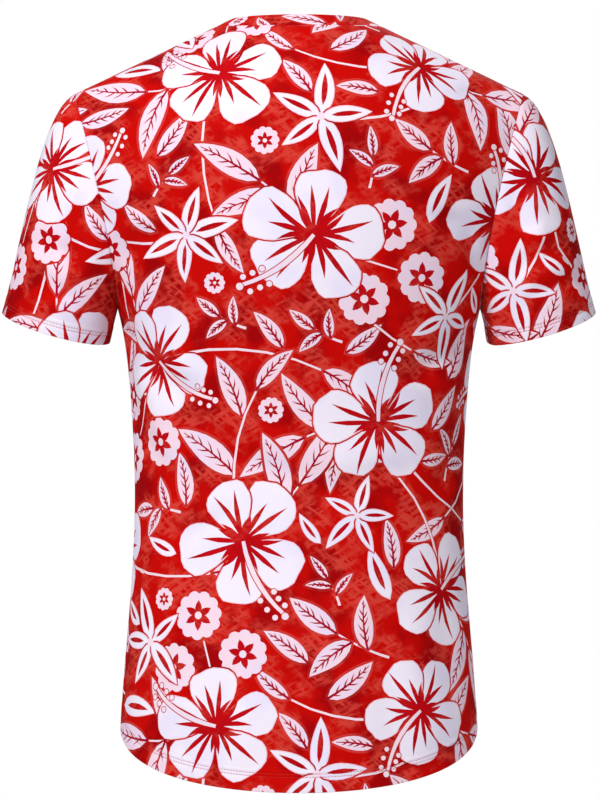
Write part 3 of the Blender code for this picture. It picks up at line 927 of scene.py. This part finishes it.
class Cut:
    """A piece of cloth: a form with two parameters, its flat cut, and where that lies on the print.

    hem is the value of the second parameter at its folded edge. Where hem_depth isn't 0, that is 0.
    """

    def __init__(self, name, base, across, along, hem, hem_depth, offset, allowance_depth, wall=WALL):
        self.name, self.base, self.across, self.along = name, base, across, along
        self.hem_depth, self.allowance_depth, self.wall = hem_depth, allowance_depth, wall
        self.offset = np.array(offset) * MM
        self.low, self.high = (across[0], along[0]), (across[-1], along[-1])
        a, b = np.meshgrid(across, along)
        flat = flatten(base(a, b))
        x, y = unit(flat[0, -1] - flat[0, 0])
        flat = (flat - flat[-1, len(across) // 2]) @ np.array(((x, -y), (y, x)))
        self.flat, self.corners = flat, flat.reshape(-1, 2)
        self.a, self.b = a.ravel(), b.ravel()
        self.triangles = grid_triangles(*a.shape)
        self.tree = flat_tree(self.corners, self.triangles)
        sides = (
            (flat[0], along[0] == hem), (flat[:, -1], False),
            (flat[-1, ::-1], along[-1] == hem), (flat[::-1, 0], False),
        )
        self.border = np.concatenate([side[:-1] for side, _ in sides])
        self.folded = np.concatenate([np.full(len(side) - 1, folded) for side, folded in sides])

    def size(self):
        """Width, length and area of the flat cut."""
        area = 0.5 * np.sum(spanned(self.border, np.roll(self.border, -1, axis=0)))
        return *np.ptp(self.border, axis=0).tolist(), float(area)

    def hem_distance(self, a, b):
        """Distance along the cloth from its turned hem."""
        edge = np.zeros_like(b)
        inner = np.clip(a, self.low[0] + STEP, self.high[0] - STEP)
        way = unit(self.base(inner + STEP, edge) - self.base(inner - STEP, edge))
        return lengths(np.cross(self.base(a, b) - self.base(a, edge), way))

    def folds(self, b, points):
        """Depth of the folds, which end short of the neckband and the shoulder seams."""
        return fold_depth(points) * ease((FOLDS_END[self.name] - b) / FOLDS_FADE)

    def relief(self, a, b, points):
        """How far the outer face lies below the form: folds, and grooves under a hem's two stitch rows."""
        sunk = self.folds(b, points)
        if self.hem_depth:
            apart = self.hem_distance(a, b)
            sunk = sunk - HEM_RISE * (1 - ease((apart - self.hem_depth) / HEM_FADE))
            for row in stitch_rows(self.hem_depth):
                sunk = sunk + STITCH_GROOVE * np.exp(-(((apart - row) / GROOVE_WIDTH) ** 2))
        return sunk

    def outer(self, a, b):
        """Outer face of the cloth, folds and all."""
        points = self.base(a, b)
        return points - self.relief(a, b, points)[..., None] * self.form_normals(a, b)

    def form_normals(self, a, b):
        return surface_normals(self.base, a, b, self.low, self.high)

    def normals(self, a, b):
        return surface_normals(self.outer, a, b, self.low, self.high)

    def parameters(self, points):
        """The form's parameters at points of the flat cut."""
        found = [self.tree.find_nearest((x, y, 0.0)) for x, y in points]
        places = np.array([tuple(place) for place, *_ in found])[:, :2]
        i, j, o = self.triangles[[index for _, _, index, _ in found]].T
        first, second = self.corners[j] - self.corners[i], self.corners[o] - self.corners[i]
        aside = places - self.corners[i]
        u, v = (area / spanned(first, second) for area in (spanned(aside, second), spanned(first, aside)))
        return [of[i] + u * (of[j] - of[i]) + v * (of[o] - of[i]) for of in (self.a, self.b)]

    def hem_line(self, apart, spacing, margin):
        """Parameters along a line at a distance from the hem, margin short of the cloth's sides."""
        a = np.linspace(self.low[0], self.high[0], 400)
        reach = np.linspace(0, 0.35, 36)
        rows = np.array([self.hem_distance(a, np.full_like(a, r)) for r in reach])
        b = np.array([np.interp(apart, row, reach) for row in rows.T])
        travel = np.concatenate(((0,), np.cumsum(lengths(np.diff(self.base(a, b), axis=0)))))
        count = max(2, int(round((travel[-1] - 2 * margin) / spacing)))
        at = np.linspace(margin, travel[-1] - margin, count + 1)
        return np.interp(at, travel, a), np.interp(at, travel, b)

    def flat_line(self, apart, margin):
        """The same line, as an open line of the flat cut."""
        a, b = self.hem_line(apart, LINE_SPACING, margin)
        column = np.interp(a, self.across, np.arange(len(self.across)))
        row = np.interp(b, self.along, np.arange(len(self.along)))
        c = np.clip(column.astype(int), 0, len(self.across) - 2)
        r = np.clip(row.astype(int), 0, len(self.along) - 2)
        u, v = (column - c)[:, None], (row - r)[:, None]
        f = self.flat
        low = f[r, c] * (1 - u) + f[r, c + 1] * u
        high = f[r + 1, c] * (1 - u) + f[r + 1, c + 1] * u
        return low * (1 - v) + high * v, False


def stitch_rows(hem_depth):
    """Distances of a twin-needle hem's two rows from the edge."""
    return [hem_depth - row for row in STITCH_ROWS]


def resampled(outline, spacing):
    """A closed outline with no edge longer than the spacing, and for each point the edge it is on."""
    points, edges = [], []
    for k, start in enumerate(outline):
        end = outline[(k + 1) % len(outline)]
        count = max(1, math.ceil(lengths(end - start) / spacing))
        for n in range(count):
            points.append(start + (end - start) * n / count)
            edges.append(k)
    return np.array(points), np.array(edges)


def inside(outline, points):
    """Which points lie in a closed outline."""
    x, y = points[:, :1], points[:, 1:]
    x0, y0 = outline.T
    x1, y1 = np.roll(outline, -1, axis=0).T
    crosses = (y0 > y) != (y1 > y)
    with np.errstate(divide="ignore", invalid="ignore"):
        at = (x1 - x0) * (y - y0) / (y1 - y0) + x0
    return (crosses & (x < at)).sum(axis=1) % 2 == 1


def inks_at(points, shapes):
    """Index of the topmost ink at each point."""
    order = np.argsort(points[:, 0])
    ordered = points[order]
    found = np.zeros(len(points), int)
    for ink, outline in shapes:
        near, far = outline.min(axis=0), outline.max(axis=0)
        first, last = np.searchsorted(ordered[:, 0], (near[0], far[0]))
        some = ordered[first:last]
        rows = np.nonzero((some[:, 1] >= near[1]) & (some[:, 1] <= far[1]))[0]
        if len(rows):
            hit = rows[inside(outline, some[rows])]
            found[first + hit] = INK_NAMES.index(ink)
    result = np.empty(len(points), int)
    result[order] = found
    return result


def free_grid(low, high, spacing, lines):
    """Points of a grid that keep clear of the lines drawn on it."""
    cell = 2 * MM
    taken = set()
    for line, closed in lines:
        ends = np.roll(line, -1, axis=0) if closed else np.concatenate((line[1:], line[-1:]))
        for share in (0, 0.33, 0.67):
            keys = np.floor((line + share * (ends - line) - low) / cell).astype(int)
            taken.update(map(tuple, keys))
    rows = np.arange(low[1], high[1], spacing * 0.87)
    points = []
    for n, y in enumerate(rows):
        for x in np.arange(low[0] + (n % 2) * spacing / 2, high[0], spacing):
            i, j = int((x - low[0]) // cell), int((y - low[1]) // cell)
            if not any((i + di, j + dj) in taken for di in (-1, 0, 1) for dj in (-1, 0, 1)):
                points.append((x, y))
    return np.array(points)


def triangulated(lines, low, high, spacing):
    """Points and triangles inside the first line, with every line and a grid between them.

    Also gives, for each point, the numbers of the lines' points that it stands for.
    """
    points, edges, count = [], [], 0
    for line, closed in lines:
        n = len(line)
        points.append(line)
        edges += [(count + k, count + (k + 1) % n) for k in range(n if closed else n - 1)]
        count += n
    points.append(free_grid(low, high, spacing, lines))
    verts = [Vector(p) for p in np.concatenate(points).tolist()]
    points, _, faces, origins, _, _ = delaunay_2d_cdt(verts, edges, [], 0, 1e-7, True)
    points, faces = np.array([tuple(p) for p in points]), np.array(faces)
    p, q, r = points[faces.T]
    if spanned(q - p, r - p).sum() < 0:
        faces = faces[:, ::-1]
    faces = faces[inside(lines[0][0], points[faces].mean(axis=1))]
    used = np.unique(faces)
    index = np.full(len(points), -1)
    index[used] = np.arange(len(used))
    return points[used], index[faces], [origins[k] for k in used]


def boundary_edges(triangles):
    """Edges that only one triangle has, with that triangle."""
    edges = np.concatenate([triangles[:, (k, (k + 1) % 3)] for k in range(3)])
    owner = np.tile(np.arange(len(triangles)), 3)
    key = np.sort(edges, axis=1)
    _, first, counts = np.unique(key, axis=0, return_index=True, return_counts=True)
    lone = first[counts == 1]
    return edges[lone], owner[lone]


def longest_loop(edges):
    """The longest closed run of points along the edges."""
    follow, longest = dict(edges.tolist()), []
    left = set(follow)
    while left:
        loop = [left.pop()]
        while follow.get(loop[-1]) in left:
            loop.append(follow[loop[-1]])
            left.discard(loop[-1])
        longest = max(longest, loop, key=len)
    return longest


def hem_marks(hem_depth):
    """Distances from the edge at which the outer face needs lines of points, for the hem's grooves."""
    marks = [hem_depth + 2.5 * MM, hem_depth + 0.5 * MM]
    for row in stitch_rows(hem_depth):
        marks += [row + GROOVE_WIDTH, row, row - GROOVE_WIDTH]
    return marks


def turned_edge(cut, border, folded, points, place, facing, edges, ring):
    """Rows of points from the outer face round to the reverse, with their normals and flat places."""
    out_way, flat_way = np.zeros((len(points), 3)), np.zeros((len(points), 2))
    run, flat_run = (of[edges[:, 1]] - of[edges[:, 0]] for of in (place, points))
    for k in edges.T:
        np.add.at(out_way, k, np.cross(run, facing[k]))
        np.add.at(flat_way, k, to_right(flat_run))
    out_way, flat_way = unit(out_way[ring]), unit(flat_way[ring])
    place, facing, points = place[ring], facing[ring], points[ring]
    apart = [((border - p) ** 2).sum(axis=1) for p in points]
    is_fold = np.array([folded[np.argmin(squares)] for squares in apart])[:, None]
    off_fold = np.sqrt([squares[folded].min() for squares in apart])
    profile = [np.zeros((len(ring), 2))]
    for k, (seam, fold) in enumerate(zip(SEAM_PROFILE, FOLD_PROFILE)):
        seam = np.tile(seam, (len(ring), 1)) * MM
        if k in LAST_ROWS:
            seam[:, 1] += cut.allowance_depth
        if k in ALLOWANCE_ROWS:
            seam[:, 0] += ALLOWANCE * ease(off_fold / CURVED_SEAM - 0.2)
        profile.append(np.where(is_fold, np.array(fold) * MM, seam))
    thickness = HEM_WALL if cut.hem_depth else cut.wall
    profile.append(np.stack((np.zeros(len(ring)), np.where(is_fold[:, 0], thickness, cut.wall)), axis=-1))
    rows, normals, flat = [], [], []
    travel = np.zeros(len(ring))
    for before, section, after in zip(profile, profile[1:], profile[2:]):
        slope = unit(after - before)
        travel = travel + lengths(section - before)
        rows.append(place + section[:, :1] * out_way - section[:, 1:] * facing)
        normals.append(unit(slope[:, 1:] * out_way + slope[:, :1] * facing))
        flat.append(points + travel[:, None] * flat_way)
    return rows, normals, flat


def make_shell(cut):
    """The whole piece as one closed mesh: printed outer face, turned edges and reverse side."""
    border, edge = resampled(grown(cut.border, -SEAM_INSET), EDGE_SPACING)
    low, high = border.min(axis=0), border.max(axis=0)
    shapes = [(ink, p - cut.offset) for ink, p in print_over(low + cut.offset, high + cut.offset)]
    lines = [(border, True)] + [(outline, True) for _, outline in shapes]
    inner_lines = []
    if cut.hem_depth:
        lines += [cut.flat_line(apart, 0) for apart in hem_marks(cut.hem_depth)]
        inner_lines = [cut.flat_line(cut.hem_depth + apart, 4 * MM) for apart in (0, HEM_STEP)]
    points, triangles, _ = triangulated(lines, low, high, GRID)
    ink = inks_at(points[triangles].mean(axis=1), shapes)
    edges, owner = boundary_edges(triangles)
    ring = np.unique(edges)
    at_ring = np.full(len(points), -1)
    at_ring[ring] = np.arange(len(ring))

    # the reverse side: the same edge points, and a coarser grid between them
    loop = longest_loop(edges)
    inner_lines.insert(0, (points[loop], True))
    inner_points, inner_triangles, origins = triangulated(inner_lines, low, high, INNER_GRID)
    partner = np.full(len(ring), -1)
    for k, stands_for in enumerate(origins):
        for o in stands_for:
            if o < len(loop):
                partner[at_ring[loop[o]]] = k
    if (partner < 0).any():
        raise ValueError(f"{cut.name}: {(partner < 0).sum()} edge points have no partner on the reverse")
    inner_triangles = inner_triangles[:, ::-1]

    a, b = cut.parameters(points)
    place, facing = cut.outer(a, b), cut.normals(a, b)
    a, b = cut.parameters(inner_points)
    form, inner_facing = cut.base(a, b), cut.form_normals(a, b)
    depth = cut.folds(b, form) + cut.wall
    if cut.hem_depth:
        depth += (HEM_WALL - cut.wall) * (1 - ease((cut.hem_distance(a, b) - cut.hem_depth) / HEM_STEP))
    rows, row_normals, row_flat = turned_edge(cut, border, cut.folded[edge], points, place, facing, edges, ring)
    verts = np.concatenate([place] + rows + [form - depth[:, None] * inner_facing])
    normals = np.concatenate([facing] + row_normals + [-inner_facing])
    flat = np.concatenate([points] + row_flat + [inner_points])

    first, second = at_ring[edges].T
    strip_lines = [edges.T]
    for start in len(points) + len(ring) * np.arange(len(rows)):
        strip_lines.append((start + first, start + second))
    inner_start = len(points) + len(ring) * len(rows)
    strip_lines.append((inner_start + partner[first], inner_start + partner[second]))
    strips = []
    for (i0, j0), (i1, j1) in zip(strip_lines, strip_lines[1:]):
        strips += [np.stack((j0, i0, i1), axis=-1), np.stack((j0, i1, j1), axis=-1)]
    faces = np.concatenate([triangles] + strips + [inner_start + inner_triangles])

    colours = np.array([(*colour, mottle) for colour, mottle in INKS.values()])
    lookup = flat_tree(points, triangles)
    seen = [lookup.find_nearest((*p, 0.0))[2] for p in inner_points]
    reverse = (*REVERSE, 0.0) * np.array(1 - SHOW_THROUGH) + SHOW_THROUGH * colours[ink[seen]] * (1, 1, 1, 0)
    outer_ink = np.concatenate((
        colours[ink],
        np.tile(colours[ink][owner], (len(strips) - 2 * STRIPS_BEHIND, 1)),
        np.tile((*REVERSE, 0.0), (2 * STRIPS_BEHIND * len(edges), 1)),
    ))
    corner_ink = np.concatenate((np.repeat(outer_ink, 3, axis=0), reverse[inner_triangles.ravel()]))

    mesh = bpy.data.meshes.new(cut.name)
    mesh.from_pydata(verts.tolist(), [], faces.tolist())
    mesh.color_attributes.new("ink", "FLOAT_COLOR", "CORNER").data.foreach_set("color", corner_ink.ravel())
    bake = bake_places(flat, faces, len(inner_triangles))
    for name, places in (("cloth", flat[faces.ravel()] + cut.offset), ("OFBake", bake)):
        mesh.uv_layers.new(name=name).data.foreach_set("uv", places.astype(np.float32).ravel())
    mesh.shade_smooth()
    mesh.normals_split_custom_set_from_vertices(unit(normals).tolist())
    return mesh


BAKE_MARGIN = 0.008
OUTER_SHARE = 0.72  # of the map's width, at most, for the outer side


def bake_places(flat, faces, inner_faces):
    """Places of the corners on the bake's map: the outer side large, and the reverse small beside it."""
    low = flat.min(axis=0)
    width, height = flat.max(axis=0) - low
    room = 1 - 2 * BAKE_MARGIN
    scale = min(room / height, OUTER_SHARE * room / width)
    beside = BAKE_MARGIN * 2 + width * scale
    small = min((1 - BAKE_MARGIN - beside) / width, room / height)
    places = (flat - low) * scale + BAKE_MARGIN
    reverse = (flat - low) * small + np.array((beside, BAKE_MARGIN))
    corners = places[faces.ravel()]
    corners[-3 * inner_faces :] = reverse[faces[-inner_faces:].ravel()]
    return corners


# ---------------------------------------------------------------- stitches

STITCH_PITCH = 3.0 * MM
THREAD = 0.42 * MM
# place along the stitch, thickness as a share of the thread's, and rise in mm
STITCH_SECTIONS = ((0.10, 0.55, -0.10), (0.32, 1.0, 0.16), (0.68, 1.0, 0.16), (0.90, 0.55, -0.10))
STITCH_TIPS, TIP_DEPTH = (0.06, 0.94), 0.25 * MM
STITCH_SIDES = 6


def make_stitches(cut):
    """Both rows of a hem's twin-needle stitching, as one mesh."""
    size = STITCH_SIDES * len(STITCH_SECTIONS) + len(STITCH_TIPS)
    last = STITCH_SIDES * (len(STITCH_SECTIONS) - 1)
    one = []
    for k in range(STITCH_SIDES):
        after = (k + 1) % STITCH_SIDES
        for row in range(0, last, STITCH_SIDES):
            i, j = row + k, row + after
            one += [(i, i + STITCH_SIDES, j), (j, i + STITCH_SIDES, j + STITCH_SIDES)]
        one += [(size - 2, k, after), (size - 1, last + after, last + k)]
    verts = []
    for apart in stitch_rows(cut.hem_depth):
        a, b = cut.hem_line(apart, STITCH_PITCH, 1.5 * MM)
        place, facing = cut.outer(a, b), cut.normals(a, b)
        start, run = place[:-1], np.diff(place, axis=0)
        up = unit(facing[:-1] + facing[1:])
        side = unit(np.cross(run, up))
        spread = [x * side + y * up for x, y in around(angles(STITCH_SIDES))]
        stitch = []
        for share, thick, rise in STITCH_SECTIONS:
            stitch += [start + share * run + rise * MM * up + THREAD / 2 * thick * way for way in spread]
        stitch += [start + share * run - TIP_DEPTH * up for share in STITCH_TIPS]
        verts.append(np.stack(stitch, axis=1).reshape(-1, 3))
    verts = np.concatenate(verts)
    faces = np.array(one) + np.arange(0, len(verts), size)[:, None, None]
    mesh = bpy.data.meshes.new("stitches")
    mesh.from_pydata(verts.tolist(), [], faces.reshape(-1, 3).tolist())
    mesh.shade_smooth()
    return mesh


# ---------------------------------------------------------------- finishes

KNIT_PITCH, KNIT_DEPTH = 1.25 * MM, 0.12 * MM
KNIT_ROUGHNESS, KNIT_SHEEN, KNIT_RELIEF = 0.74, 0.03, 0.35
THREAD_COLOUR, THREAD_ROUGHNESS = (0.50, 0.012, 0.012), 0.5
# Watercolour mottling: colour, share, and noise by scale, detail, lower and upper end, stretch and heading
DEEP, DEEP_SHARE, DEEP_NOISE = (0.25, 0.0, 0.002), 0.75, (19, 4, 0.44, 0.66)
PATCH, PATCH_SHARE, PATCH_NOISE = (0.62, 0.052, 0.036), 0.85, (30, 3, 0.44, 0.62)
LAVENDER, LAVENDER_SHARE, LAVENDER_NOISE = (0.66, 0.62, 0.86), 0.35, (17, 2, 0.45, 0.65)
STROKES = ((240, 2, 0.38, 0.66, 4, 28), (260, 2, 0.42, 0.68, 5, -40))


def printed_finish(name):
    """Printed knit: the mesh's ink colours with watercolour mottling, over a fine ribbed relief."""
    finish, shader = finish_of(name, (1, 1, 1), KNIT_ROUGHNESS)
    tree = finish.node_tree
    ink = add_node(tree, "VertexColor", {}, layer_name="ink").outputs
    cloth = add_node(tree, "UVMap", {}, uv_map="cloth").outputs["UV"]

    def noise(scale, detail, low, high, stretch=1, heading=0):
        """Soft patches, 0 to 1, or strokes that are stretch times as long as wide."""
        laid = {"Vector": cloth, "Rotation": (0, 0, math.radians(heading)), "Scale": (stretch, 1, 1)}
        laid = add_node(tree, "Mapping", laid, vector_type="TEXTURE").outputs["Vector"]
        spots = {"Vector": laid, "Scale": scale, "Detail": detail}
        spots = add_node(tree, "TexNoise", spots, noise_dimensions="2D").outputs["Fac"]
        share = {"Value": spots, "From Min": low, "From Max": high}
        return add_node(tree, "MapRange", share, interpolation_type="SMOOTHSTEP").outputs["Result"]

    def calculated(operation, first, second):
        return add_node(tree, "Math", {0: first, 1: second}, operation=operation).outputs["Value"]

    def product(first, *others):
        for other in others:
            first = calculated("MULTIPLY", first, other)
        return first

    def mixed(share, under, colour):
        inputs = {"Factor": share, "A": under, "B": (*colour, 1)}
        return add_node(tree, "Mix", inputs, data_type="RGBA").outputs["Result"]

    mottled = ink["Alpha"]
    plain = calculated("MAXIMUM", calculated("SUBTRACT", 1.0, product(mottled, 2.0)), 0.0)
    strokes = calculated("MAXIMUM", *(noise(*stroke) for stroke in STROKES))
    colour = mixed(product(noise(*DEEP_NOISE), mottled, DEEP_SHARE), ink["Color"], DEEP)
    colour = mixed(product(noise(*PATCH_NOISE), strokes, mottled, PATCH_SHARE), colour, PATCH)
    colour = mixed(product(noise(*LAVENDER_NOISE), plain, LAVENDER_SHARE), colour, LAVENDER)
    tree.links.new(colour, shader.inputs["Base Color"])

    split = add_node(tree, "SeparateXYZ", {"Vector": cloth}).outputs
    waves = [
        calculated("SINE", product(split[axis], 2 * math.pi / pitch), 0.0)
        for axis, pitch in (("X", KNIT_PITCH), ("Y", 0.8 * KNIT_PITCH))
    ]
    bump = add_node(tree, "Bump", {"Strength": KNIT_RELIEF, "Distance": KNIT_DEPTH, "Height": product(*waves)})
    tree.links.new(bump.outputs["Normal"], shader.inputs["Normal"])
    shader.inputs["Specular IOR Level"].default_value = KNIT_SHEEN
    return finish


# ---------------------------------------------------------------- the pieces

FINISHES = {slot: printed_finish(slot) for slot in ("printed_knit", "neckband_knit")}
THREAD_FINISH = finish_of("thread", THREAD_COLOUR, THREAD_ROUGHNESS)[0]


def panel_of(side):
    """A body panel, with its rows above the underarm evenly spaced over the roll of the shoulder."""

    def point(a, b):
        b = np.clip(b, 0, 2)
        climb = 1 - (2 - np.maximum(b, 1)) ** 2
        row = 1 + np.arccos(np.clip(1 - 2 * climb, -1, 1)) / math.pi
        return panel_point(side, -side.facing * np.asarray(a, float), np.where(b < 1, b, row))

    return point


def sleeve_of(hand):
    def point(a, b):
        place = sleeve_point(math.pi + hand * np.asarray(a, float), 1 - np.asarray(b, float))
        return place * np.array((hand, 1, 1))

    return point


ACROSS, ALONG = np.linspace(-1, 1, 29), np.linspace(0, 2, 29)
HALF_TURNS, ARM = np.linspace(-math.pi, math.pi, 33), np.linspace(0, 1, 13)
FULL_TURN, BAND = np.linspace(0, 2 * math.pi, 49), np.linspace(0, 1, 3)
CUTS = (
    # name, form, parameters across and along, place of the folded edge, hem depth, place on the print,
    # depth of the seam allowances, wall
    Cut("back", panel_of(BACK), ACROSS, ALONG, 0, BODY_HEM, (0, 0), 1.7 * MM),
    Cut("front", panel_of(FRONT), ACROSS, ALONG, 0, BODY_HEM, (230, 310), 1.3 * MM),
    Cut("sleeve_left", sleeve_of(-1), HALF_TURNS, ARM, 0, CUFF_HEM, (-268, -95), 0.9 * MM),
    Cut("sleeve_right", sleeve_of(1), HALF_TURNS, ARM, 0, CUFF_HEM, (268, -120), 0.9 * MM),
    Cut("neckband", band_point, FULL_TURN, BAND, 1, 0, (60, -330), 0.9 * MM, 1.9 * MM),
)


def add_piece(name, mesh, finish):
    mesh.materials.append(finish)
    piece = linked(name, mesh)
    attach(piece, "root")
    return piece


pieces, stitching = {}, {}
for cut in CUTS:
    slot = "neckband_knit" if cut.name == "neckband" else "printed_knit"
    pieces[cut.name] = add_piece("knit_" + cut.name, make_shell(cut), FINISHES[slot])
    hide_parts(cut.name)
    if cut.hem_depth:
        stitching[cut.name] = [add_piece("stitches_" + cut.name, make_stitches(cut), THREAD_FINISH)]

for cut in CUTS:
    width, length, area = cut.size()
    if cut.name == "neckband":  # a straight strip, stretched to the curve of the neck
        width, length = area / BAND_HEIGHT, BAND_HEIGHT
